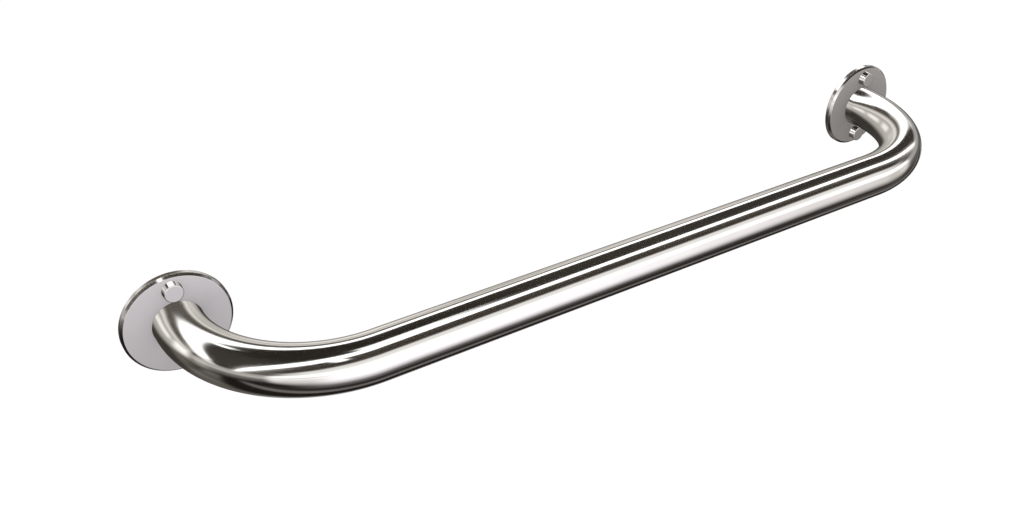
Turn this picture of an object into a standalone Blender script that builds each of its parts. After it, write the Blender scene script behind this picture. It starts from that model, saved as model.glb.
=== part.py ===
"""Wall-mounted grab rail: a bent stainless tube welded into two round flanges.

Units are metres and +Z is up. The rail runs along X, the wall is the plane y = 0 and the
rail stands off towards -Y. The origin lies in the wall plane, midway between the flanges.
"""
from math import cos, pi, radians, sin

import bmesh
import bpy

# Rail tube
TUBE_D = 0.025
TUBE_WALL = 0.0015
SPAN = 0.461  # flange centre to flange centre
STANDOFF = 0.0763  # back of the flange to the tube's centreline
BEND_R = 0.0695  # centreline radius of both bends
TUBE_END_RECESS = 0.0006  # the tube stops this far inside the back of the flange

# Flange disc
FLANGE_D = 0.0542
FLANGE_T = 0.00365
FLANGE_EDGE = 0.0012  # 45 degree chamfer at the front
FLANGE_BACK_EDGE = 0.0002
WELD_PREP = 0.0016  # 45 degree chamfer at the back of the bore

# Fixing holes, one above and one below the tube in each flange
HOLE_OFFSET = 0.0194
HOLE_D = 0.0046

# Sealing gasket behind the flange
GASKET_D = 0.0512
GASKET_BORE_D = 0.0298
GASKET_T = 0.001

# Screw, M4 x 10 with a low head
SCREW_D = 0.004
SCREW_CORE_D = 0.00314
SCREW_PITCH = 0.0007
SCREW_LENGTH = 0.010
SCREW_NECK = 0.0004
SCREW_HEAD_D = 0.007
SCREW_HEAD_H = 0.002
SCREW_HEAD_EDGE = 0.0003
SCREW_TIP_EDGE = 0.0004
SOCKET_ACROSS_FLATS = 0.0025
SOCKET_DEPTH = 0.0011

# Cap seat, the ring under the screw's head that the cap snaps over
SEAT_BASE_D = 0.0072
SEAT_RIM_D = 0.008
SEAT_BASE_H = 0.0005
SEAT_T = 0.00085

# Cap, tapering from its mouth to its face
CAP_D = 0.0098
CAP_FACE_D = 0.0092
CAP_H = 0.004
CAP_WALL = 0.0005
CAP_TOP_T = 0.0006
CAP_EDGE_R = 0.0004
CAP_LIP_D = 0.0076
CAP_LIP_H = 0.0004

# Clearances between neighbouring pieces
GAP = 0.0003
SEAT_GAP = 0.00015
CAP_GAP = 0.0001

# Roundness
TUBE_BEVEL_RESOLUTION = 14
BEND_STEPS = 14
FLANGE_STEPS = 48
SMALL_STEPS = 24
SCREW_STEPS = 12
EDGE_STEPS = 3
MERGE = 0.00001
SHARP_ANGLE = radians(35)

FLANGE_BACK = GASKET_T + GAP
FLANGE_FRONT = FLANGE_BACK + FLANGE_T
TUBE_Y = -(FLANGE_BACK + STANDOFF)
SIDES = {"left": -SPAN / 2, "right": SPAN / 2}
ROWS = {"top": HOLE_OFFSET, "bottom": -HOLE_OFFSET}


def clear_scene():
    """Remove every object that the file opened with."""
    for thing in list(bpy.data.objects):
        bpy.data.objects.remove(thing, do_unlink=True)


def new_collection(name):
    """Make a collection under the scene's own."""
    collection = bpy.data.collections.new(name)
    bpy.context.scene.collection.children.link(collection)
    return collection


def new_material(name, colour, metallic, roughness):
    """Make a Principled material of one colour."""
    material = bpy.data.materials.new(name)
    material.use_nodes = True
    shader = material.node_tree.nodes["Principled BSDF"]
    shader.inputs["Base Color"].default_value = (*colour, 1.0)
    shader.inputs["Metallic"].default_value = metallic
    shader.inputs["Roughness"].default_value = roughness
    return material


def take_evaluated_mesh(thing):
    """Return a mesh with the object's modifiers or bevel applied, and remove the object."""
    depsgraph = bpy.context.evaluated_depsgraph_get()
    mesh = bpy.data.meshes.new_from_object(thing.evaluated_get(depsgraph))
    bpy.data.objects.remove(thing, do_unlink=True)
    mesh.shade_smooth()
    mesh.set_sharp_from_angle(angle=SHARP_ANGLE)
    return mesh


def turned_mesh(name, profile, steps, closed):
    """Turn a profile of (radius, height) points about the Z axis.

    The profile runs down its outer side. A closed one is a ring, and an open one starts
    and ends on the axis.
    """
    count = len(profile)
    edges = [(i, i + 1) for i in range(count - 1)]
    if closed:
        edges.append((count - 1, 0))
    outline = bpy.data.meshes.new(name)
    outline.from_pydata([(radius, 0.0, height) for radius, height in profile], edges, [])
    thing = bpy.data.objects.new(name, outline)
    bpy.context.scene.collection.objects.link(thing)
    screw = thing.modifiers.new("turn", "SCREW")
    screw.axis = "Z"
    screw.angle = 2 * pi
    screw.steps = steps
    screw.render_steps = steps
    screw.use_merge_vertices = True
    screw.merge_threshold = MERGE
    return take_evaluated_mesh(thing)


def place(name, mesh, material, collection, parent, location):
    """Add an object at a place in its parent's frame."""
    thing = bpy.data.objects.new(name, mesh)
    collection.objects.link(thing)
    thing.parent = parent
    thing.location = location
    if not mesh.materials:
        mesh.materials.append(material)
    return thing


def place_cutter(name, segments, radius, depth, collection, parent, location):
    """Add a cutting prism with its axis along the parent's Z."""
    prism = bmesh.new()
    bmesh.ops.create_cone(prism, cap_ends=True, segments=segments, radius1=radius,
                          radius2=radius, depth=depth)
    mesh = bpy.data.meshes.new(name)
    prism.to_mesh(mesh)
    prism.free()
    cutter = bpy.data.objects.new(name, mesh)
    collection.objects.link(cutter)
    cutter.parent = parent
    cutter.location = location
    cutter.hide_render = True
    cutter.display_type = "WIRE"
    return cutter


def cut(thing, cutter):
    """Subtract the cutter from an object."""
    boolean = thing.modifiers.new("cut_" + cutter.name, "BOOLEAN")
    boolean.operation = "DIFFERENCE"
    boolean.solver = "EXACT"
    boolean.object = cutter


def rounded_edge(radius, height, fillet):
    """Return the points of a quarter-round from a top face down to an outer side."""
    angles = [pi / 2 * i / EDGE_STEPS for i in range(EDGE_STEPS + 1)]
    return [(radius - fillet + fillet * sin(a), height - fillet + fillet * cos(a))
            for a in angles]


def rail_path():
    """Return the tube's centreline, from the left end round both bends to the right end."""
    end = -TUBE_Y - FLANGE_BACK - TUBE_END_RECESS
    centre_x = SPAN / 2 - BEND_R
    half = [(SPAN / 2, end, 0.0)]
    for i in range(BEND_STEPS + 1):
        angle = pi / 2 * i / BEND_STEPS
        half.append((centre_x + BEND_R * cos(angle), BEND_R - BEND_R * sin(angle), 0.0))
    left = [(-x, y, z) for x, y, z in half]
    return left + half[::-1]


def make_rail_tube(material, collection):
    """Bend the tube along its centreline and hollow it, with both ends open."""
    curve = bpy.data.curves.new("rail_centreline", "CURVE")
    curve.dimensions = "3D"
    curve.bevel_depth = TUBE_D / 2
    curve.bevel_resolution = TUBE_BEVEL_RESOLUTION
    path = rail_path()
    spline = curve.splines.new("POLY")
    spline.points.add(len(path) - 1)
    for point, place_on_path in zip(spline.points, path):
        point.co = (*place_on_path, 1.0)
    guide = bpy.data.objects.new("rail_centreline", curve)
    bpy.context.scene.collection.objects.link(guide)
    mesh = take_evaluated_mesh(guide)
    tube = place("rail_tube", mesh, material, collection, None, (0.0, TUBE_Y, 0.0))
    wall = tube.modifiers.new("wall", "SOLIDIFY")
    wall.thickness = TUBE_WALL
    wall.offset = -1.0
    wall.use_even_offset = True
    return tube


def flange_mesh():
    """Turn the flange: chamfered front edge, plain bore and a weld chamfer at the back."""
    rim = FLANGE_D / 2
    bore = TUBE_D / 2 + GAP
    profile = [
        (rim - FLANGE_EDGE, FLANGE_T),
        (rim, FLANGE_T - FLANGE_EDGE),
        (rim, FLANGE_BACK_EDGE),
        (rim - FLANGE_BACK_EDGE, 0.0),
        (bore + WELD_PREP, 0.0),
        (bore, WELD_PREP),
        (bore, FLANGE_T),
    ]
    return turned_mesh("flange", profile, FLANGE_STEPS, True)


def weld_mesh():
    """Turn the weld ring, ground flush, that fills the chamfer round the tube's end."""
    inner = TUBE_D / 2 + GAP
    root = WELD_PREP - 2 * GAP
    profile = [
        (inner + 0.25 * root, root),
        (inner + root, 0.25 * root),
        (inner + root, CAP_GAP),
        (inner, CAP_GAP),
        (inner, root),
    ]
    return turned_mesh("weld", profile, FLANGE_STEPS, True)


def gasket_mesh():
    """Turn the flat sealing ring."""
    outer = GASKET_D / 2
    bore = GASKET_BORE_D / 2
    profile = [(outer, GASKET_T), (outer, 0.0), (bore, 0.0), (bore, GASKET_T)]
    return turned_mesh("gasket", profile, FLANGE_STEPS, True)


def seat_mesh():
    """Turn the cap seat, whose rim overhangs its base so that the cap's lip can catch."""
    bore = HOLE_D / 2
    base = SEAT_BASE_D / 2
    rim = SEAT_RIM_D / 2
    profile = [
        (rim, SEAT_T),
        (rim, SEAT_BASE_H),
        (base, SEAT_BASE_H),
        (base, 0.0),
        (bore, 0.0),
        (bore, SEAT_T),
    ]
    return turned_mesh("cap_seat", profile, SMALL_STEPS, True)


def cap_mesh():
    """Turn the cap: a shallow cup, open towards the wall, with a lip inside its mouth."""
    roof = CAP_H - CAP_TOP_T
    profile = [(0.0, CAP_H)]
    profile += rounded_edge(CAP_FACE_D / 2, CAP_H, CAP_EDGE_R)
    profile += [
        (CAP_D / 2, 0.0),
        (CAP_LIP_D / 2, 0.0),
        (CAP_LIP_D / 2, CAP_LIP_H),
        (CAP_D / 2 - CAP_WALL, CAP_LIP_H + CAP_GAP),
        (CAP_FACE_D / 2 - CAP_WALL, roof),
        (0.0, roof),
    ]
    return turned_mesh("cap", profile, SMALL_STEPS, False)


def screw_mesh():
    """Turn the screw, with its thread as a row of ridges and the head's underside at z = 0."""
    head = SCREW_HEAD_D / 2
    crest = SCREW_D / 2
    core = SCREW_CORE_D / 2
    profile = [
        (0.0, SCREW_HEAD_H),
        (head - SCREW_HEAD_EDGE, SCREW_HEAD_H),
        (head, SCREW_HEAD_H - SCREW_HEAD_EDGE),
        (head, 0.0),
        (core, 0.0),
        (core, -SCREW_NECK),
    ]
    ridges = int((SCREW_LENGTH - SCREW_NECK - SCREW_TIP_EDGE) / SCREW_PITCH)
    for i in range(ridges):
        start = SCREW_NECK + SCREW_PITCH * i
        profile.append((crest, -(start + SCREW_PITCH / 2)))
        profile.append((core, -(start + SCREW_PITCH)))
    profile += [
        (core - SCREW_TIP_EDGE, -SCREW_LENGTH),
        (0.0, -SCREW_LENGTH),
    ]
    return turned_mesh("screw", profile, SCREW_STEPS, False)


def make_foot(side, x, meshes, materials, parts, cutters):
    """Build one end: gasket, flange, weld and the two capped screws."""
    foot = bpy.data.objects.new("foot_" + side, None)
    parts.objects.link(foot)
    foot.location = (x, 0.0, 0.0)
    foot.rotation_euler = (pi / 2, 0.0, 0.0)  # local Z points off the wall, local Y points up
    gasket = place("gasket_" + side, meshes["gasket"], materials["gasket"], parts, foot,
                   (0.0, 0.0, 0.0))
    flange = place("flange_" + side, meshes["flange"], materials["flange"], parts, foot,
                   (0.0, 0.0, FLANGE_BACK))
    place("weld_" + side, meshes["weld"], materials["weld"], parts, foot,
          (0.0, 0.0, FLANGE_BACK))
    for row, height in ROWS.items():
        tag = side + "_" + row
        hole = place_cutter("hole_" + tag, SMALL_STEPS, HOLE_D / 2, 4 * FLANGE_FRONT,
                            cutters, foot, (0.0, height, 0.0))
        cut(gasket, hole)
        cut(flange, hole)
        make_fixing(tag, height, foot, meshes, materials, parts, cutters)


def make_fixing(tag, height, foot, meshes, materials, parts, cutters):
    """Build one fixing: the screw, the seat under its head and the cap over both."""
    seat_z = FLANGE_FRONT + SEAT_GAP
    screw_z = seat_z + SEAT_T + SEAT_GAP
    place("cap_seat_" + tag, meshes["cap_seat"], materials["cap_seat"], parts, foot,
          (0.0, height, seat_z))
    screw = place("screw_" + tag, meshes["screw"], materials["screw"], parts, foot,
                  (0.0, height, screw_z))
    socket = place_cutter("socket_" + tag, 6, SOCKET_ACROSS_FLATS / 2 / cos(pi / 6),
                          2 * SOCKET_DEPTH, cutters, foot,
                          (0.0, height, screw_z + SCREW_HEAD_H))
    cut(screw, socket)
    place("cap_" + tag, meshes["cap"], materials["cap"], parts, foot,
          (0.0, height, FLANGE_FRONT + CAP_GAP))


def make_materials():
    """Make one material for each kind of piece."""
    return {
        "rail_tube": new_material("rail_tube_steel", (0.62, 0.61, 0.59), 1.0, 0.16),
        "flange": new_material("flange_steel", (0.60, 0.59, 0.59), 1.0, 0.28),
        "weld": new_material("weld_steel", (0.48, 0.46, 0.43), 1.0, 0.42),
        "gasket": new_material("gasket_rubber", (0.03, 0.03, 0.03), 0.0, 0.75),
        "cap_seat": new_material("cap_seat_nylon", (0.74, 0.73, 0.69), 0.0, 0.5),
        "screw": new_material("screw_steel", (0.55, 0.54, 0.53), 1.0, 0.32),
        "cap": new_material("cap_steel", (0.63, 0.62, 0.61), 1.0, 0.2),
    }


def main():
    """Build the whole rail."""
    clear_scene()
    parts = new_collection("grab_rail")
    cutters = new_collection("cutters")
    materials = make_materials()
    meshes = {
        "flange": flange_mesh(),
        "weld": weld_mesh(),
        "gasket": gasket_mesh(),
        "cap_seat": seat_mesh(),
        "screw": screw_mesh(),
        "cap": cap_mesh(),
    }
    make_rail_tube(materials["rail_tube"], parts)
    for side, x in SIDES.items():
        make_foot(side, x, meshes, materials, parts, cutters)


main()
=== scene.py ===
"""Looks of the wall-mounted grab rail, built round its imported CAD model.

Units are metres. The rail runs along X, the wall is the plane y = 0 and the rail stands off
towards -Y. Every CAD node is replaced by a finer closed mesh in the same place: the tube is
skinned along its bent centreline, and all other pieces are turned about their own axis.
"""
from math import cos, floor, pi, radians, sin, tan, tau

import bpy
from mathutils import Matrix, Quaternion, Vector


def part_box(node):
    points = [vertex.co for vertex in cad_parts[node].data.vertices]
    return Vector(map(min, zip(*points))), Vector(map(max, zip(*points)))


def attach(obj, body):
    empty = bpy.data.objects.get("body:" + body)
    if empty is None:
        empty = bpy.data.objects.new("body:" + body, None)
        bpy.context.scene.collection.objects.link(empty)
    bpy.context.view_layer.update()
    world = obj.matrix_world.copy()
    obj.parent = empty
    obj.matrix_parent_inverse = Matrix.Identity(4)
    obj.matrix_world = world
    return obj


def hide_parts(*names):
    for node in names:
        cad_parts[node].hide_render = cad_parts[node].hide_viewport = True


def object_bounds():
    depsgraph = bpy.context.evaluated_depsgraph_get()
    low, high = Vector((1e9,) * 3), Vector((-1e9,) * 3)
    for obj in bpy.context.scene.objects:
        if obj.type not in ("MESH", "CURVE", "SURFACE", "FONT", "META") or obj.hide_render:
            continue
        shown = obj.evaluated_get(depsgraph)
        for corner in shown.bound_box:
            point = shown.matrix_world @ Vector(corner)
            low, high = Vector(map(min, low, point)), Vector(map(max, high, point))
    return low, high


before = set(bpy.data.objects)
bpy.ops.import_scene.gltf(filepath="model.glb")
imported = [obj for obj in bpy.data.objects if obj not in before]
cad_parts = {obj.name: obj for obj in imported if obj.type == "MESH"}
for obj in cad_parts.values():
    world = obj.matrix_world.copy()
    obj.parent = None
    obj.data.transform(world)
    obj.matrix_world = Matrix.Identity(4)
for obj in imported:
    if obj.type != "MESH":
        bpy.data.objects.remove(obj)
cad_low, cad_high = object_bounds()

# Rail tube
BEND_R = 0.0695  # centreline radius of both bends
TUBE_WALL = 0.0015
TUBE_EDGE = 0.0002
BEND_STEPS = 72
STRAIGHT_STEPS = 24
STUB_STEPS = 2

# Flange disc
FLANGE_CHAMFER = 0.0012  # 45 degree chamfer at the front of the rim
FLANGE_EDGE = 0.00015
BORE_CLEARANCE = 0.00002
HOLE_D = 0.0046
WELD_PREP = 0.0016  # 45 degree chamfer at the back of the bore

# Weld bead
WELD_CROWN = 0.00035
WELD_RIPPLE = 0.00009
WELD_RIPPLES = 44
WELD_LAG = 0.5  # how far a ripple's sides trail its middle, in ripples
SIDES_PER_RIPPLE = 6

# Gasket
GASKET_BORE_D = 0.0298
GASKET_EDGE = 0.00022

# Screw
SCREW_CORE_D = 0.00314
SCREW_PITCH = 0.0007
SCREW_TIP = 0.0005  # 45 degree chamfer at the end
CREST_CLEARANCE = 0.0003  # between the thread and the hole
THREAD_STEPS = 10  # rings along one pitch
THREAD_SLOPE = 1.7  # steepness of a ridge's flanks
THREAD_ROOT = 0.35  # what is cut off a ridge's foot
THREAD_FADE_HEAD = 1.2  # in pitches
THREAD_FADE_TIP = 1.5
SCREW_HEAD_H = 0.002
SCREW_EDGE = 0.0003
SOCKET_ACROSS_FLATS = 0.0025
SOCKET_DEPTH = 0.0011
SOCKET_CONE = 0.4  # depth of the drill point below it, over its radius

# Cap and the seat it snaps over
CAP_FACE_D = 0.0092
CAP_WALL = 0.0005
CAP_TOP_T = 0.0006
CAP_EDGE = 0.00035
CAP_LIP_D = 0.0076
CAP_LIP_H = 0.0004
SEAT_BASE_D = 0.0072
SEAT_BASE_H = 0.0005

# Roundness
TUBE_SIDES = 128
FLANGE_SIDES = 256
SMALL_SIDES = 96
SCREW_SIDES = 48
ARC_STEPS = 4
SHARP_ANGLE = radians(30)
TINY_EDGE = 0.00008

SIDES = ("left", "right")
ROWS = ("top", "bottom")

# Camera, aimed near the rail's middle
CAMERA_AZIMUTH = radians(-32.01)
CAMERA_ELEVATION = radians(32.60)
CAMERA_DISTANCE = 0.5835
CAMERA_AIM = Vector((-0.0531, 0.0226, -0.0140))  # from the middle of the rail's box
CAMERA_ROLL = radians(-0.17)
CAMERA_LENS = 37.52  # mm

FLOOR_DROP = 0.7
FLOOR_SIZE = 12.0


def middle(node):
    """Return the middle of a CAD node's box."""
    low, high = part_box(node)
    return (low + high) / 2


def extent(node):
    """Return the three side lengths of a CAD node's box."""
    low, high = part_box(node)
    return high - low


# ---------------------------------------------------------------- mesh building


def fillet(before, corner, after, radius):
    """Return an arc that rounds a corner, with two points just before and just after it.

    The outer points keep the shading of the neighbouring straight stretches flat, and
    keep the rubbed edge off them.
    """
    back = (before - corner).normalized()
    ahead = (after - corner).normalized()
    half = back.angle(ahead) / 2
    reach = radius / tan(half)
    centre = corner + (back + ahead).normalized() * (radius / sin(half))
    start = corner + back * reach - centre
    end = corner + ahead * reach - centre
    turn = start.angle_signed(end)
    points = [corner + back * (reach + radius * share) for share in (1.0, 0.5)]
    for i in range(ARC_STEPS + 1):
        angle = -turn * i / ARC_STEPS
        spin = Vector((start.x * cos(angle) - start.y * sin(angle),
                       start.x * sin(angle) + start.y * cos(angle)))
        points.append(centre + spin)
    points += [corner + ahead * (reach + radius * share) for share in (0.5, 1.0)]
    return points


def rounded_profile(corners, closed):
    """Turn (radius, height, fillet) corners into profile points."""
    points = []
    count = len(corners)
    for i, (radius, height, edge) in enumerate(corners):
        here = Vector((radius, height))
        inside = closed or 0 < i < count - 1
        if not edge or not inside:
            points.append(here)
            continue
        before = Vector(corners[i - 1][:2])
        after = Vector(corners[(i + 1) % count][:2])
        points += fillet(before, here, after, edge)
    return points


def turned_point(radius, height, angle):
    """Place a profile point on a piece turned about its own Z axis."""
    return Vector((radius * cos(angle), radius * sin(angle), height))


def skin(name, profile, sides, closed, shape=turned_point):
    """Sweep a profile through a full turn into one closed mesh.

    A closed profile makes a ring. An open one starts and ends on the axis.
    """
    rings = profile if closed else profile[1:-1]
    vertices = [shape(p.x, p.y, tau * i / sides) for p in rings for i in range(sides)]
    faces = []
    last = len(rings) if closed else len(rings) - 1
    for j in range(last):
        this = j * sides
        following = (j + 1) % len(rings) * sides
        for i in range(sides):
            k = (i + 1) % sides
            faces.append((this + i, this + k, following + k, following + i))
    if not closed:
        for tip, ring in ((profile[0], 0), (profile[-1], len(rings) - 1)):
            vertices.append(shape(tip.x, tip.y, 0.0))
            centre = len(vertices) - 1
            first = ring * sides
            for i in range(sides):
                face = (first + i, centre, first + (i + 1) % sides)
                faces.append(face if ring == 0 else face[::-1])
    mesh = bpy.data.meshes.new(name)
    mesh.from_pydata(vertices, [], faces)
    return mesh


def outward(mesh):
    """Turn a closed mesh's faces outward if they point inward."""
    mesh.update()
    volume = sum(p.center.dot(p.normal) * p.area for p in mesh.polygons)
    if volume < 0:
        mesh.flip_normals()


def finish_mesh(mesh, material):
    """Orient, shade and paint a mesh."""
    outward(mesh)
    mesh.shade_smooth()
    mesh.set_sharp_from_angle(angle=SHARP_ANGLE)
    mesh.materials.clear()
    mesh.materials.append(material)


def add_piece(node, mesh, material, origin=None):
    """Show a mesh in place of a CAD node.

    A turned piece has its origin on its axis, at its end nearer the wall. Its local Z
    points off the wall and its local Y points up.
    """
    finish_mesh(mesh, material)
    piece = bpy.data.objects.new(node + "_piece", mesh)
    bpy.context.scene.collection.objects.link(piece)
    if origin is not None:
        piece.location = origin
        piece.rotation_euler = (pi / 2, 0.0, 0.0)
    piece.visible_glossy = False
    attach(piece, "root")
    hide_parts(node)
    return piece


def drill(mesh, offsets, diameter, depth):
    """Cut round holes along Z through a mesh, at heights along its Y axis.

    The bit is turned by half a facet. Its points would else meet the mesh's own in places,
    and the cut would leave a gap there.
    """
    blank = bpy.data.objects.new("blank", mesh)
    bpy.context.scene.collection.objects.link(blank)
    profile = [Vector((0, depth)), Vector((diameter / 2, depth)),
               Vector((diameter / 2, -depth)), Vector((0, -depth))]
    cutters = []
    for offset in offsets:
        bit_mesh = skin("bit", profile, SMALL_SIDES, False)
        outward(bit_mesh)
        bit = bpy.data.objects.new("bit", bit_mesh)
        bpy.context.scene.collection.objects.link(bit)
        bit.location = (0.0, offset, 0.0)
        bit.rotation_euler = (0.0, 0.0, pi / SMALL_SIDES)
        cutting = blank.modifiers.new("hole", "BOOLEAN")
        cutting.operation = "DIFFERENCE"
        cutting.solver = "EXACT"
        cutting.object = bit
        cutters.append(bit)
    graph = bpy.context.evaluated_depsgraph_get()
    drilled = bpy.data.meshes.new_from_object(blank.evaluated_get(graph))
    for thing in (blank, *cutters):
        bpy.data.objects.remove(thing, do_unlink=True)
    return drilled


# ---------------------------------------------------------------- pieces


class Rail:
    """The tube's bent centreline, measured from its left end."""

    def __init__(self):
        low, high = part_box("rail_tube")
        self.radius = (high.z - low.z) / 2
        self.half_span = high.x - self.radius
        self.end_y = high.y
        self.straight_y = low.y + self.radius
        self.stub = self.end_y - self.straight_y - BEND_R
        self.bend = BEND_R * pi / 2
        self.straight = 2 * (self.half_span - BEND_R)
        self.length = 2 * (self.stub + self.bend) + self.straight

    def stations(self):
        """Return the distances at which the tube has a ring, apart from its ends."""
        stretches = ((self.stub, STUB_STEPS), (self.bend, BEND_STEPS),
                     (self.straight, STRAIGHT_STEPS), (self.bend, BEND_STEPS),
                     (self.stub, STUB_STEPS))
        places = []
        start = 0.0
        for length, steps in stretches:
            places += [start + length * (i + 1) / steps for i in range(steps)]
            start += length
        return places[:-1]

    def point(self, radius, distance, angle):
        """Place a point at a radius and angle round the centreline."""
        side = -1.0 if distance < self.length / 2 else 1.0
        run = min(distance, self.length - distance)
        turn = min(max(run - self.stub, 0.0), self.bend) / BEND_R
        away = Vector((side * cos(turn), -sin(turn), 0.0))
        pivot = Vector((side * (self.half_span - BEND_R), self.straight_y + BEND_R, 0.0))
        centre = pivot + away * BEND_R
        centre.y += max(self.stub - run, 0.0)
        centre.x -= side * max(run - self.stub - self.bend, 0.0)
        return centre + radius * (cos(angle) * away + sin(angle) * Vector((0.0, 0.0, 1.0)))


def add_grain(mesh, profile, sides, radius):
    """Store straightened coordinates on a tube: along, and across its round section."""
    grain = mesh.attributes.new("grain", "FLOAT_VECTOR", "POINT")
    values = []
    for place in profile:
        for i in range(sides):
            angle = tau * i / sides
            values += [place.y, radius * cos(angle), radius * sin(angle)]
    grain.data.foreach_set("vector", values)


def build_tube(material):
    """Skin the hollow tube, open at both ends, along its centreline."""
    rail = Rail()
    outer = rail.radius
    inner = outer - TUBE_WALL
    stations = rail.stations()
    corners = [(outer, 0.0, TUBE_EDGE)]
    corners += [(outer, s, 0.0) for s in stations]
    corners += [(outer, rail.length, TUBE_EDGE), (inner, rail.length, TUBE_EDGE)]
    corners += [(inner, s, 0.0) for s in reversed(stations)]
    corners += [(inner, 0.0, TUBE_EDGE)]
    profile = rounded_profile(corners, True)
    mesh = skin("rail_tube", profile, TUBE_SIDES, True, rail.point)
    add_grain(mesh, profile, TUBE_SIDES, outer)
    add_piece("rail_tube", mesh, material)


def build_flange(side, material):
    """Turn the flange: chamfered rim, bore round the tube and a weld chamfer behind."""
    node = "flange_" + side
    size = extent(node)
    rim = size.x / 2
    thick = size.y
    bore = extent("rail_tube").z / 2 + BORE_CLEARANCE
    corners = [
        (rim - FLANGE_CHAMFER, thick, FLANGE_EDGE),
        (rim, thick - FLANGE_CHAMFER, FLANGE_EDGE),
        (rim, 0.0, FLANGE_EDGE),
        (bore + WELD_PREP, 0.0, TINY_EDGE),
        (bore, WELD_PREP, TINY_EDGE),
        (bore, thick, TINY_EDGE),
    ]
    mesh = skin(node, rounded_profile(corners, True), FLANGE_SIDES, True)
    mesh = drill(mesh, hole_heights(side), HOLE_D, 2 * thick)
    low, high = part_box(node)
    centre = middle(node)
    add_piece(node, mesh, material, (centre.x, high.y, centre.z))


def hole_heights(side):
    """Return how far above the flange's centre its two screw holes are."""
    centre = middle("flange_" + side)
    return [middle("screw_" + side + "_" + row).z - centre.z for row in ROWS]


def build_weld(side, material):
    """Turn the weld bead that fills the chamfer round the tube's end, with its ripples."""
    node = "weld_" + side
    flange_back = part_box("flange_" + side)[1].y
    inner = extent("rail_tube").z / 2 + BORE_CLEARANCE
    outer = inner + WELD_PREP - 2 * BORE_CLEARANCE
    depth = WELD_PREP - 4 * BORE_CLEARANCE
    crown = [(inner + (outer - inner) * share, -WELD_CROWN * sin(pi * share), 0.0)
             for share in (0.0, 0.15, 0.3, 0.5, 0.7, 0.85, 1.0)]
    corners = [*crown, (inner, depth, 0.0)]

    def rippled(radius, height, angle):
        share = (radius - inner) / (outer - inner)
        lag = WELD_LAG * (2 * share - 1) ** 2
        wave = (angle * WELD_RIPPLES / tau + lag) % 1.0
        lift = WELD_RIPPLE * sin(pi * share) * (1 - wave) if height < 0 else 0.0
        return turned_point(radius, height - lift, angle)

    sides = SIDES_PER_RIPPLE * WELD_RIPPLES
    mesh = skin(node, rounded_profile(corners, True), sides, True, rippled)
    centre = middle(node)
    add_piece(node, mesh, material, (centre.x, flange_back, centre.z))


def build_gasket(side, material):
    """Turn the gasket, pressed flat between the wall and the flange."""
    node = "gasket_" + side
    size = extent(node)
    wall_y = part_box(node)[1].y
    thick = wall_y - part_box("flange_" + side)[1].y - BORE_CLEARANCE
    outer = size.x / 2
    bore = GASKET_BORE_D / 2
    corners = [(outer, thick, GASKET_EDGE), (outer, 0.0, GASKET_EDGE),
               (bore, 0.0, GASKET_EDGE), (bore, thick, GASKET_EDGE)]
    mesh = skin(node, rounded_profile(corners, True), FLANGE_SIDES, True)
    mesh = drill(mesh, hole_heights(side), HOLE_D, 2 * thick)
    centre = middle(node)
    add_piece(node, mesh, material, (centre.x, wall_y, centre.z))


def build_seat(tag, material):
    """Turn the ring under the screw's head, whose rim holds the cap's lip."""
    node = "cap_seat_" + tag
    size = extent(node)
    rim = size.x / 2
    base = SEAT_BASE_D / 2
    bore = HOLE_D / 2
    corners = [(rim, size.y, TINY_EDGE), (rim, SEAT_BASE_H, TINY_EDGE),
               (base, SEAT_BASE_H, 0.0), (base, 0.0, 0.0),
               (bore, 0.0, TINY_EDGE), (bore, size.y, TINY_EDGE)]
    mesh = skin(node, rounded_profile(corners, True), SMALL_SIDES, True)
    centre = middle(node)
    add_piece(node, mesh, material, (centre.x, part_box(node)[1].y, centre.z))


def build_cap(tag, material):
    """Turn the cap: a shallow cup over the screw, with a lip inside its mouth."""
    node = "cap_" + tag
    size = extent(node)
    outer = size.x / 2
    face = CAP_FACE_D / 2
    roof = size.y - CAP_TOP_T
    lip = CAP_LIP_D / 2
    corners = [
        (0.0, size.y, 0.0),
        (face, size.y, CAP_EDGE),
        (outer, 0.0, TINY_EDGE),
        (lip, 0.0, TINY_EDGE),
        (lip, CAP_LIP_H, TINY_EDGE),
        (outer - CAP_WALL, CAP_LIP_H + TINY_EDGE, 0.0),
        (face - CAP_WALL, roof, 2 * TINY_EDGE),
        (0.0, roof, 0.0),
    ]
    mesh = skin(node, rounded_profile(corners, False), SMALL_SIDES, False)
    centre = middle(node)
    piece = add_piece(node, mesh, material,
                      (centre.x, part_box(node)[1].y, centre.z))
    # The cap casts no shadow, so the painted shade on the flange leaves no dark ring round it
    piece.visible_shadow = False


def thread_height(height, angle, length):
    """Return the thread's height as a share of its depth, faded out at both ends."""
    phase = (height / SCREW_PITCH - angle / tau) % 1.0
    ridge = min(max(THREAD_SLOPE * (1 - abs(2 * phase - 1)) - THREAD_ROOT, 0.0), 1.0)
    from_head = -height / (THREAD_FADE_HEAD * SCREW_PITCH)
    from_tip = (length + height) / (THREAD_FADE_TIP * SCREW_PITCH)
    return ridge * min(max(min(from_head, from_tip), 0.0), 1.0)


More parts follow.
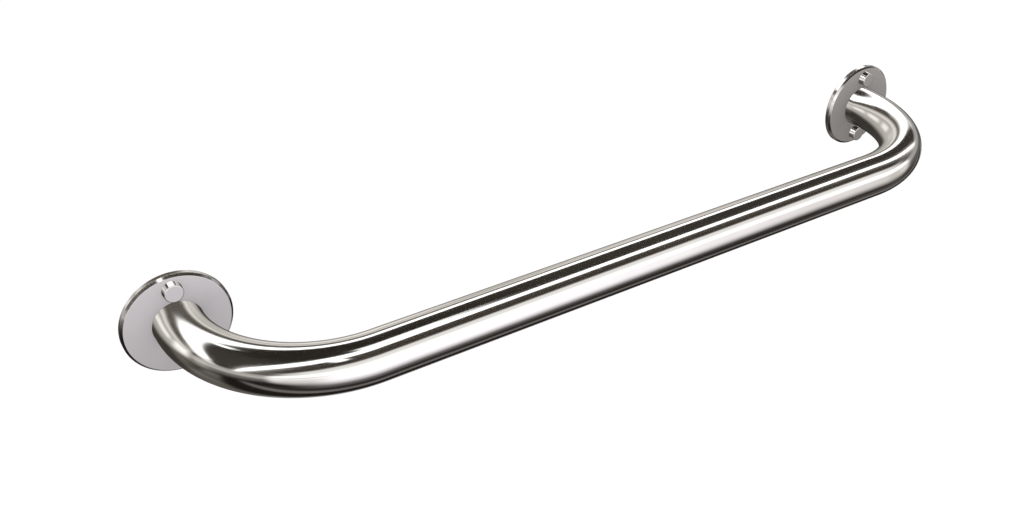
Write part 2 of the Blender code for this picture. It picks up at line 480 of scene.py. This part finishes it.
def build_screw(tag, material):
    """Turn the screw: low head with a hexagon socket, and a helical thread."""
    node = "screw_" + tag
    size = extent(node)
    length = size.y - SCREW_HEAD_H
    head = size.x / 2
    core = SCREW_CORE_D / 2
    crest = HOLE_D / 2 - CREST_CLEARANCE
    corner_r = SOCKET_ACROSS_FLATS / 2 / cos(pi / 6)
    socket_floor = SCREW_HEAD_H - SOCKET_DEPTH
    threaded = length - SCREW_TIP
    steps = floor(threaded / SCREW_PITCH * THREAD_STEPS)
    corners = [
        (0.0, socket_floor - SOCKET_CONE * corner_r, 0.0),
        (corner_r, socket_floor, 0.0),
        (corner_r, SCREW_HEAD_H - TINY_EDGE, 0.0),
        (corner_r + TINY_EDGE, SCREW_HEAD_H, 0.0),
        (head - 3 * SCREW_EDGE, SCREW_HEAD_H, 0.0),
        (head, SCREW_HEAD_H, SCREW_EDGE),
        (head, 0.0, TINY_EDGE),
        (core + TINY_EDGE, 0.0, 0.0),
    ]
    corners += [(core, -threaded * (i + 0.5) / steps, 0.0) for i in range(steps)]
    corners += [(core - SCREW_TIP, -length, 0.0), (0.0, -length, 0.0)]

    def screw_point(radius, height, angle):
        if height < 0 and radius > core - TINY_EDGE:
            radius = core + (crest - core) * thread_height(height, angle, length)
        elif 0 < height and radius <= corner_r + TINY_EDGE:
            sector = (angle % (pi / 3)) - pi / 6
            radius *= cos(pi / 6) / cos(sector)
        return turned_point(radius, height, angle)

    mesh = skin(node, rounded_profile(corners, False), SCREW_SIDES, False, screw_point)
    centre = middle(node)
    head_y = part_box(node)[0].y + SCREW_HEAD_H
    add_piece(node, mesh, material, (centre.x, head_y, centre.z))


# ---------------------------------------------------------------- node helpers


class Tree:
    """Short calls for adding linked shader nodes."""

    def __init__(self, owner):
        owner.use_nodes = True
        self.tree = owner.node_tree
        self.tree.nodes.clear()

    def node(self, kind, **settings):
        """Add a node and set its properties."""
        made = self.tree.nodes.new(kind)
        for name, value in settings.items():
            setattr(made, name, value)
        return made

    def link(self, value, socket):
        """Link a socket to another, or set it to a constant."""
        if isinstance(value, bpy.types.NodeSocket):
            self.tree.links.new(value, socket)
        else:
            socket.default_value = value

    def maths(self, operation, *values):
        """Add a Math node."""
        made = self.node("ShaderNodeMath", operation=operation)
        for value, socket in zip(values, made.inputs):
            self.link(value, socket)
        return made.outputs[0]

    def vector(self, operation, *values):
        """Add a Vector Math node, for operations that give a vector."""
        made = self.node("ShaderNodeVectorMath", operation=operation)
        for value, socket in zip(values, made.inputs):
            self.link(value, socket)
        return made.outputs["Vector"]

    def ramp(self, value, low, high, start=0.0, end=1.0):
        """Ease from start to end as a value goes from low to high."""
        made = self.node("ShaderNodeMapRange", interpolation_type="SMOOTHSTEP")
        for number, socket in zip((value, low, high, start, end), made.inputs):
            self.link(number, socket)
        return made.outputs["Result"]

    def band(self, value, start, full, fade, end):
        """Return 1 where a value lies between full and fade, easing to 0 at both ends."""
        return self.maths("MULTIPLY", self.ramp(value, start, full),
                          self.ramp(value, fade, end, 1.0, 0.0))

    def noise(self, place, scale, detail=3.0, roughness=0.55, distortion=0.0):
        """Add a Noise texture and return its value."""
        made = self.node("ShaderNodeTexNoise")
        self.link(place, made.inputs["Vector"])
        made.inputs["Scale"].default_value = scale
        made.inputs["Detail"].default_value = detail
        made.inputs["Roughness"].default_value = roughness
        made.inputs["Distortion"].default_value = distortion
        return made.outputs["Fac"]

    def blend(self, share, first, second):
        """Mix two colours."""
        made = self.node("ShaderNodeMix", data_type="RGBA")
        for value, name in ((share, "Factor_Float"), (first, "A_Color"), (second, "B_Color")):
            socket = next(s for s in made.inputs if s.identifier == name)
            self.link(value, socket)
        return next(s for s in made.outputs if s.identifier == "Result_Color")

    def painted_shade(self, base, alone, reach, low, high):
        """Paint shade into a colour where surfaces close by, or only the piece's own, hem it in.
        """
        made = self.node("ShaderNodeAmbientOcclusion", samples=PAINTED_SHADE_SAMPLES, only_local=alone)
        made.inputs["Distance"].default_value = reach
        painted_shade_factor = self.ramp(made.outputs["AO"], low, high, PAINTED_SHADE_DARKEST, 1.0)
        return self.vector("SCALE", base, (0, 0, 0), (0, 0, 0), painted_shade_factor)

    def bump(self, height, distance, strength=1.0, normal=None):
        """Add a Bump node and return its normal."""
        made = self.node("ShaderNodeBump")
        made.inputs["Strength"].default_value = strength
        made.inputs["Distance"].default_value = distance
        self.link(height, made.inputs["Height"])
        if normal is not None:
            self.link(normal, made.inputs["Normal"])
        return made.outputs["Normal"]


def colour(red, green, blue):
    """Return an opaque colour."""
    return (red, green, blue, 1.0)


def shaded(colour_value, factor):
    """Return a colour made lighter or darker."""
    return (*(channel * factor for channel in colour_value[:3]), 1.0)


def new_material(name):
    """Make a material with a Principled shader and return it, its tree and the shader."""
    material = bpy.data.materials.new(name)
    tree = Tree(material)
    shader = tree.node("ShaderNodeBsdfPrincipled")
    output = tree.node("ShaderNodeOutputMaterial")
    tree.link(shader.outputs["BSDF"], output.inputs["Surface"])
    return material, tree, shader


# ---------------------------------------------------------------- materials


# Painted shade, darkening hemmed-in surfaces: whether only the piece's own surface counts,
# the reach in metres, and the openness at which it is full and at which it is gone
PAINTED_SHADE = (True, 0.03, 0.1, 0.7)
FLANGE_PAINTED_SHADE = (False, 0.06, -0.4, 1.0)
PAINTED_SHADE_SAMPLES = 8
PAINTED_SHADE_DARKEST = 0.05

# Steel's polishing lines: scales per metre and depth in metres
DRAWN_SCALE = (12.0, 2600.0, 2600.0)
DRAWN_DEPTH = 0.000003
TURNED_RINGS = 5200.0
TURNED_SWIRL = 60.0
TURNED_DEPTH = 0.0000006
LINE_STRENGTH = 0.5

# Steel's hairline scratches: the angle and seed of each set, and what they cut
SCRATCH_SETS = ((0.7, 5.3), (2.3, 9.1))
SCRATCH_SCALE = (35.0, 6000.0, 2400.0)
SCRATCH_RANGE = (0.70, 0.78)
SCRATCH_CUT = 0.35  # over the depth of the lines

# Steel's uneven tone and rubbed edges
CLOUD_SCALE = 45.0
CLOUD_TONES = (0.975, 1.02)
LINE_TONE = 0.85
LINE_SHARE = 0.12
EDGE_TONE = 1.15
EDGE_SHARE = 0.5
CONVEX_EDGE = (0.525, 0.57)  # Pointiness

# Turned satin pieces, by how squarely a surface faces along the axis
SATIN_FACING = (0.93, 0.99)
FACE_EDGE = (0.76, 0.84, 0.93, 0.98)
RIM_EDGE = (0.12, 0.30, 0.50, 0.64)

# What each feature adds to steel's roughness, and the mean that is taken off again
LINE_ROUGH = 0.035
CLOUD_ROUGH = 0.03
SCRATCH_ROUGH = 0.03
EDGE_ROUGH = -0.03
MEAN_ROUGH = 0.03


def drawn_grain(tree):
    """Return stretched coordinates for polishing lines that run along the tube."""
    place = tree.node("ShaderNodeAttribute", attribute_name="grain").outputs["Vector"]
    return tree.vector("MULTIPLY", place, DRAWN_SCALE)


def turned_grain(tree):
    """Return stretched coordinates for fine rings round a turned piece's axis."""
    place = tree.node("ShaderNodeTexCoord").outputs["Object"]
    split = tree.node("ShaderNodeSeparateXYZ")
    tree.link(place, split.inputs[0])
    x, y, z = split.outputs
    radius = tree.maths("SQRT", tree.maths("ADD", tree.maths("MULTIPLY", x, x),
                                           tree.maths("MULTIPLY", y, y)))
    across = tree.maths("ADD", radius, z)
    joined = tree.node("ShaderNodeCombineXYZ")
    tree.link(tree.maths("MULTIPLY", across, TURNED_RINGS), joined.inputs[0])
    tree.link(tree.maths("MULTIPLY", x, TURNED_SWIRL), joined.inputs[1])
    tree.link(tree.maths("MULTIPLY", y, TURNED_SWIRL), joined.inputs[2])
    return joined.outputs[0]


def scratches(tree, angle, seed):
    """Return a mask of sparse, nearly straight hairline scratches in one direction."""
    place = tree.node("ShaderNodeTexCoord").outputs["Object"]
    turn = tree.node("ShaderNodeMapping")
    tree.link(place, turn.inputs["Vector"])
    turn.inputs["Location"].default_value = (seed, 2 * seed, 3 * seed)
    turn.inputs["Rotation"].default_value = (angle, 0.6 * angle, 1.7 * angle)
    turn.inputs["Scale"].default_value = SCRATCH_SCALE
    lines = tree.noise(turn.outputs["Vector"], scale=1.0, detail=1.0, distortion=0.15)
    return tree.ramp(lines, *SCRATCH_RANGE)


def steel(name, tint, polish, grain, depth, satin=None, painted_shade=PAINTED_SHADE):
    """Make stainless steel: polished, or satin on the faces square to the piece's axis.

    Fine lines follow the grain, hairline scratches cross it, and convex edges are rubbed
    brighter and smoother. Painted shade darkens the base colour where it is hemmed in.
    """
    material, tree, shader = new_material(name)
    place = tree.node("ShaderNodeTexCoord")
    lines = tree.noise(grain(tree), scale=1.0, detail=4.0, roughness=0.6)
    cloud = tree.noise(place.outputs["Object"], CLOUD_SCALE, detail=2.0)
    marks = tree.maths("MAXIMUM", *(scratches(tree, *numbers) for numbers in SCRATCH_SETS))
    if satin is None:
        rough = polish
        convex = tree.node("ShaderNodeNewGeometry").outputs["Pointiness"]
        edge = tree.ramp(convex, *CONVEX_EDGE)
    else:
        split = tree.node("ShaderNodeSeparateXYZ")
        tree.link(place.outputs["Normal"], split.inputs[0])
        facing = tree.maths("ABSOLUTE", split.outputs[2])
        rough = tree.ramp(facing, *SATIN_FACING, polish, satin)
        edge = tree.maths("MAXIMUM", tree.band(facing, *FACE_EDGE),
                          tree.band(facing, *RIM_EDGE))
    for feature, added in ((lines, LINE_ROUGH), (cloud, CLOUD_ROUGH), (marks, SCRATCH_ROUGH),
                           (edge, EDGE_ROUGH)):
        rough = tree.maths("ADD", rough, tree.maths("MULTIPLY", feature, added))
    rough = tree.maths("SUBTRACT", rough, MEAN_ROUGH)

    dark, light = (shaded(tint, tone) for tone in CLOUD_TONES)
    base = tree.blend(tree.ramp(cloud, 0.3, 0.7), dark, light)
    base = tree.blend(tree.maths("MULTIPLY", lines, LINE_SHARE), base, shaded(tint, LINE_TONE))
    base = tree.blend(tree.maths("MULTIPLY", edge, EDGE_SHARE), base, shaded(tint, EDGE_TONE))

    relief = tree.maths("SUBTRACT", lines, tree.maths("MULTIPLY", marks, SCRATCH_CUT))
    # Painted shade: ambient occlusion darkens the base colour in hollows and beside other parts
    tree.link(tree.painted_shade(base, *painted_shade), shader.inputs["Base Color"])
    tree.link(rough, shader.inputs["Roughness"])
    tree.link(tree.bump(relief, depth, LINE_STRENGTH), shader.inputs["Normal"])
    shader.inputs["Metallic"].default_value = 1.0
    return material


def weld_steel():
    """Make the weld bead: duller steel with a faint heat tint."""
    material, tree, shader = new_material("weld_bead_steel")
    place = tree.node("ShaderNodeTexCoord").outputs["Object"]
    cloud = tree.noise(place, scale=260.0, detail=3.0)
    fine = tree.noise(place, scale=4200.0, detail=3.0)
    straw = colour(0.56, 0.49, 0.38)
    blue = colour(0.38, 0.40, 0.46)
    base = tree.blend(tree.ramp(cloud, 0.38, 0.62), straw, blue)
    greyed = 0.45
    base = tree.blend(greyed, base, colour(0.50, 0.48, 0.46))
    tree.link(base, shader.inputs["Base Color"])
    tree.link(tree.ramp(fine, 0.3, 0.7, 0.30, 0.46), shader.inputs["Roughness"])
    tree.link(tree.bump(fine, distance=0.00002, strength=0.5), shader.inputs["Normal"])
    shader.inputs["Metallic"].default_value = 1.0
    return material


def rubber():
    """Make matte black rubber with a fine pebbled skin and a little dust."""
    material, tree, shader = new_material("gasket_black_rubber")
    place = tree.node("ShaderNodeTexCoord").outputs["Object"]
    pebble = tree.noise(place, scale=3500.0, detail=4.0)
    dust = tree.noise(place, scale=120.0, detail=5.0, roughness=0.65)
    base = tree.blend(tree.ramp(dust, 0.45, 0.75), colour(0.022, 0.022, 0.023),
                      colour(0.060, 0.057, 0.053))
    tree.link(base, shader.inputs["Base Color"])
    tree.link(tree.ramp(pebble, 0.3, 0.7, 0.55, 0.80), shader.inputs["Roughness"])
    tree.link(tree.bump(pebble, distance=0.00004, strength=0.6), shader.inputs["Normal"])
    shader.inputs["Specular IOR Level"].default_value = 0.4
    return material


def nylon():
    """Make natural nylon: milky, faintly uneven, with a fine moulded skin."""
    material, tree, shader = new_material("cap_seat_natural_nylon")
    place = tree.node("ShaderNodeTexCoord").outputs["Object"]
    cloud = tree.noise(place, scale=400.0, detail=3.0)
    skin_noise = tree.noise(place, scale=6000.0, detail=2.0)
    base = tree.blend(tree.ramp(cloud, 0.35, 0.65), colour(0.74, 0.72, 0.66),
                      colour(0.80, 0.79, 0.75))
    tree.link(base, shader.inputs["Base Color"])
    tree.link(tree.ramp(skin_noise, 0.3, 0.7, 0.38, 0.52), shader.inputs["Roughness"])
    tree.link(tree.bump(skin_noise, distance=0.00001, strength=0.5), shader.inputs["Normal"])
    shader.inputs["Subsurface Weight"].default_value = 0.15
    shader.inputs["Subsurface Scale"].default_value = 0.001
    return material


# ---------------------------------------------------------------- studio


STUDIO_YAW = radians(-9.7)
BACKDROP = (1.03, 1.03, 1.03)  # what the camera and matt surfaces see
STUDIO_DARK = (0.018, 0.0155, 0.0135)
LEAST_DEPTH = 0.0001  # keeps slopes finite for directions along a wall

# The studio is a box room seen from the rail. On each wall a place is given as two slopes:
# how far across and how far along it lies, over the distance to that wall. A panel rises
# between its first two numbers and falls between its last two, both across and along.
WHITE = (1.75, 1.75, 1.74)
LAMP = (2.6, 2.6, 2.58)
PANELS = (
    # Window on the front wall: its top, white middle, dimmer right side, left side in two
    # parts, the softer light above it, its foot and the wall over it
    ("front", (-2.6, -1.7, 1.7, 2.6), (0.06, 0.14, 0.38, 0.48), WHITE),
    ("front", (-0.9, -0.35, 0.22, 0.95), (-1.05, -0.25, 0.06, 0.14), (1.75, 1.70, 1.785)),
    ("front", (0.22, 0.95, 1.7, 2.6), (-0.96, -0.15, 0.06, 0.14), (0.91, 0.875, 0.83)),
    ("front", (-2.6, -1.7, -0.9, -0.35), (-1.00, -0.15, 0.00, 0.10), (1.12, 1.09, 1.06)),
    ("front", (-2.6, -1.7, -0.9, -0.35), (-0.14, 0.00, 0.06, 0.14), (0.50, 0.50, 0.50)),
    ("front", (-2.2, -0.8, 0.8, 2.2), (0.38, 0.48, 0.68, 0.86), (1.26, 1.24, 1.21)),
    ("front", (-1.6, -0.4, 0.2, 1.2), (-1.70, -0.90, -0.90, -0.50), (0.165, 0.16, 0.155)),
    ("front", (-2.4, -2.0, 2.0, 2.4), (0.70, 0.86, 1.60, 1.90), (0.055, 0.045, 0.036)),
    # Front light strip along the ceiling, and its soft far ends
    ("ceiling", (-7.0, -2.5, 2.2, 7.0), (-0.51, -0.45, -0.25, -0.19), LAMP),
    ("ceiling", (0.5, 2.2, 7.0, 9.0), (-0.85, -0.47, -0.25, 0.06), (0.60, 0.59, 0.57)),
    ("ceiling", (2.2, 3.5, 7.0, 9.0), (-1.10, -0.70, -0.60, -0.45), (0.40, 0.38, 0.36)),
    ("ceiling", (-9.0, -7.0, -1.8, -0.5), (-0.85, -0.48, -0.25, 0.02), (0.50, 0.49, 0.47)),
    # Back light strip, in two parts, with a soft edge on one and soft far ends
    ("ceiling", (-3.5, -1.8, -0.10, 0.20), (0.70, 0.80, 1.14, 1.36), LAMP),
    ("ceiling", (-0.10, 0.20, 1.5, 4.0), (0.73, 0.84, 1.08, 1.30), LAMP),
    ("ceiling", (0.7, 1.1, 2.0, 4.0), (1.00, 1.20, 1.25, 1.55), (0.85, 0.84, 0.82)),
    ("ceiling", (-7.0, -4.0, -3.0, -1.2), (0.72, 1.10, 1.40, 1.80), (1.30, 1.28, 1.24)),
    ("ceiling", (1.3, 3.2, 5.0, 7.0), (0.80, 1.15, 1.30, 1.70), (1.10, 1.08, 1.04)),
    # Three lamps beside the strips
    ("ceiling", (-0.26, -0.22, -0.14, -0.10), (0.54, 0.60, 0.70, 0.74), LAMP),
    ("ceiling", (-0.29, -0.25, -0.14, -0.10), (-0.75, -0.70, -0.54, -0.48), LAMP),
    ("ceiling", (0.11, 0.18, 0.38, 0.46), (-0.22, -0.18, -0.08, -0.02), (1.9, 1.9, 1.88)),
    # The faint glow of the ceiling, a little stronger at both ends between the strips
    ("ceiling", (-5.0, -4.0, 4.0, 5.0), (-0.90, -0.60, 1.00, 1.60), (0.0155, 0.014, 0.0095)),
    ("ceiling", (-4.0, -3.0, -0.6, -0.2), (-0.20, 0.0, 0.5, 0.7), (0.03, 0.027, 0.024)),
    ("ceiling", (0.3, 0.7, 3.0, 4.0), (-0.20, 0.0, 0.5, 0.7), (0.025, 0.022, 0.020)),
    # Back wall: its shaded top, a bright band, a dimmer one below with three bright patches,
    # the right and left end of that band, and the shaded foot
    ("back", (-1.9, -1.6, 1.6, 1.9), (0.54, 0.62, 0.70, 0.76), (0.11, 0.09, 0.068)),
    ("back", (-1.9, -1.6, 1.2, 1.9), (0.26, 0.40, 0.42, 0.62), (1.12, 1.09, 1.03)),
    ("back", (-1.9, -1.6, 0.8, 1.9), (-0.49, -0.13, 0.26, 0.36), (0.64, 0.61, 0.57)),
    ("back", (-1.0, -0.8, -0.5, -0.3), (-0.08, 0.07, 0.14, 0.28), (0.75, 0.74, 0.73)),
    ("back", (-0.40, -0.2, 0.0, 0.25), (-0.08, 0.07, 0.14, 0.28), (0.80, 0.79, 0.78)),
    ("back", (0.18, 0.38, 0.52, 0.72), (-0.12, 0.04, 0.14, 0.28), (0.70, 0.69, 0.68)),
    ("back", (0.6, 1.0, 2.2, 3.0), (-0.15, 0.12, 0.30, 0.48), (0.26, 0.25, 0.24)),
    ("back", (-1.75, -1.45, -1.15, -0.92), (-0.40, 0.14, 0.22, 0.38), (1.0, 1.0, 1.01)),
    ("back", (-1.9, -1.2, 1.2, 1.9), (-1.6, -1.0, -0.50, -0.20), (0.045, 0.040, 0.036)),
    # Left end wall: a band with an upright strip, dimmer patches below and a glow above
    ("left", (-0.60, -0.40, 0.50, 0.75), (-0.10, 0.02, 0.12, 0.26), (0.62, 0.59, 0.56)),
    ("left", (0.24, 0.33, 0.42, 0.52), (-0.45, -0.05, 0.22, 0.36), (0.15, 0.145, 0.14)),
    ("left", (-0.70, -0.45, 0.55, 0.90), (-0.42, -0.06, -0.04, 0.06), (0.25, 0.24, 0.23)),
    ("left", (0.10, 0.35, 0.80, 1.20), (-0.90, -0.20, -0.10, 0.00), (0.12, 0.11, 0.10)),
    ("left", (0.45, 0.90, 1.00, 1.40), (-1.90, -1.40, -0.55, -0.20), (0.092, 0.08, 0.07)),
    ("left", (-0.90, -0.60, -0.25, 0.05), (0.14, 0.22, 0.42, 0.62), (0.15, 0.14, 0.135)),
    # Right end wall: a band, dimmer patches below and a glow above
    ("right", (-0.60, -0.40, 0.50, 0.75), (-0.08, 0.04, 0.14, 0.26), (0.48, 0.47, 0.46)),
    ("right", (-0.90, -0.60, 0.40, 0.70), (-0.50, -0.04, 0.00, 0.06), (0.17, 0.16, 0.155)),
    ("right", (-0.90, -0.60, -0.50, -0.05), (-1.30, -0.90, -0.50, -0.20), (0.08, 0.075, 0.07)),
    ("right", (-0.90, -0.60, -0.20, 0.10), (0.14, 0.22, 0.42, 0.62), (0.17, 0.165, 0.16)),
    # Floor: a pale strip in front, a shelf behind that is dimmer to the left, and a faint
    # glow past the strip
    ("floor", (-3.0, -1.0, 3.0, 4.0), (-0.44, -0.32, -0.18, -0.08), (0.20, 0.19, 0.185)),
    ("floor", (-0.1, 0.2, 3.0, 4.0), (0.30, 0.46, 0.58, 0.74), (0.42, 0.40, 0.39)),
    ("floor", (-3.0, -2.0, -0.1, 0.2), (0.25, 0.45, 0.66, 1.00), (0.13, 0.12, 0.11)),
    ("floor", (-2.0, -1.0, 1.0, 2.0), (-1.20, -0.90, -0.46, -0.34), (0.018, 0.016, 0.015)),
)


def build_world():
    """Light the scene: plain white all round, and a studio of soft panels in the metal."""
    world = bpy.data.worlds.new("studio")
    bpy.context.scene.world = world
    tree = Tree(world)
    turn = tree.node("ShaderNodeVectorRotate", rotation_type="Z_AXIS")
    tree.link(tree.node("ShaderNodeTexCoord").outputs["Generated"], turn.inputs["Vector"])
    turn.inputs["Angle"].default_value = STUDIO_YAW
    split = tree.node("ShaderNodeSeparateXYZ")
    tree.link(turn.outputs["Vector"], split.inputs[0])
    x, y, z = split.outputs

    def slopes(ahead, sign, across, along):
        depth = tree.maths("MAXIMUM", tree.maths("MULTIPLY", ahead, sign), LEAST_DEPTH)
        return tree.maths("DIVIDE", across, depth), tree.maths("DIVIDE", along, depth)

    walls = {
        "front": slopes(y, -1.0, x, z),
        "back": slopes(y, 1.0, x, z),
        "ceiling": slopes(z, 1.0, x, y),
        "floor": slopes(z, -1.0, x, y),
        "left": slopes(x, -1.0, y, z),
        "right": slopes(x, 1.0, y, z),
    }
    light = STUDIO_DARK
    for wall, across, along, glow in PANELS:
        share = 1.0
        for slope, edges in zip(walls[wall], (across, along)):
            share = tree.maths("MULTIPLY", share, tree.band(slope, *edges))
        light = tree.vector("MULTIPLY_ADD", glow, share, light)
    path = tree.node("ShaderNodeLightPath").outputs
    plain = tree.maths("MAXIMUM", path["Is Camera Ray"], path["Is Diffuse Ray"])
    mixed = tree.blend(plain, light, colour(*BACKDROP))
    background = tree.node("ShaderNodeBackground")
    tree.link(mixed, background.inputs["Color"])
    output = tree.node("ShaderNodeOutputWorld")
    tree.link(background.outputs[0], output.inputs["Surface"])
    world.cycles.sampling_method = "NONE"


def build_floor():
    """Lay a plain pale floor below the rail."""
    material, tree, shader = new_material("floor_pale")
    place = tree.node("ShaderNodeTexCoord").outputs["Object"]
    cloud = tree.noise(place, scale=2.0, detail=2.0)
    base = tree.blend(cloud, colour(0.985, 0.985, 0.985), colour(1.0, 1.0, 1.0))
    tree.link(base, shader.inputs["Base Color"])
    shader.inputs["Roughness"].default_value = 1.0
    shader.inputs["Specular IOR Level"].default_value = 0.0
    half = FLOOR_SIZE / 2
    drop = cad_low.z - FLOOR_DROP
    mesh = bpy.data.meshes.new("floor")
    mesh.from_pydata([(-half, -half, drop), (half, -half, drop), (half, half, drop),
                      (-half, half, drop)], [], [(0, 1, 2, 3)])
    mesh.materials.append(material)
    ground = bpy.data.objects.new("floor", mesh)
    bpy.context.scene.collection.objects.link(ground)
    ground.visible_glossy = False


def build_camera():
    """Aim the camera."""
    data = bpy.data.cameras.new("camera")
    data.sensor_width = 36.0
    data.lens = CAMERA_LENS
    data.clip_start = 0.01
    data.clip_end = 50.0
    camera = bpy.data.objects.new("camera", data)
    bpy.context.scene.collection.objects.link(camera)
    back = Vector((sin(CAMERA_AZIMUTH) * cos(CAMERA_ELEVATION),
                   -cos(CAMERA_AZIMUTH) * cos(CAMERA_ELEVATION), sin(CAMERA_ELEVATION)))
    aim = (cad_low + cad_high) / 2 + CAMERA_AIM
    camera.location = aim + back * CAMERA_DISTANCE
    camera.rotation_mode = "QUATERNION"
    level = (-back).to_track_quat("-Z", "Y")
    camera.rotation_quaternion = level @ Quaternion((0.0, 0.0, 1.0), CAMERA_ROLL)
    bpy.context.scene.camera = camera


def main():
    """Build every piece, the studio and the camera."""
    tube_steel = steel("tube_polished_steel", colour(0.62, 0.61, 0.595), polish=0.10,
                       grain=drawn_grain, depth=DRAWN_DEPTH)
    flange_steel = steel("flange_satin_steel", colour(0.60, 0.589, 0.583), polish=0.12,
                         grain=turned_grain, depth=TURNED_DEPTH, satin=0.13,
                         painted_shade=FLANGE_PAINTED_SHADE)
    cap_steel = steel("cap_satin_steel", colour(0.585, 0.575, 0.57), polish=0.06,
                      grain=turned_grain, depth=TURNED_DEPTH, satin=0.12)
    screw_steel = steel("screw_plain_steel", colour(0.55, 0.54, 0.53), polish=0.28,
                        grain=turned_grain, depth=TURNED_DEPTH)
    bead = weld_steel()
    black = rubber()
    milky = nylon()
    build_tube(tube_steel)
    for side in SIDES:
        build_flange(side, flange_steel)
        build_weld(side, bead)
        build_gasket(side, black)
        for row in ROWS:
            tag = side + "_" + row
            build_seat(tag, milky)
            build_screw(tag, screw_steel)
            build_cap(tag, cap_steel)
    build_world()
    build_floor()
    build_camera()
    bpy.context.scene.view_settings.view_transform = "Standard"


main()
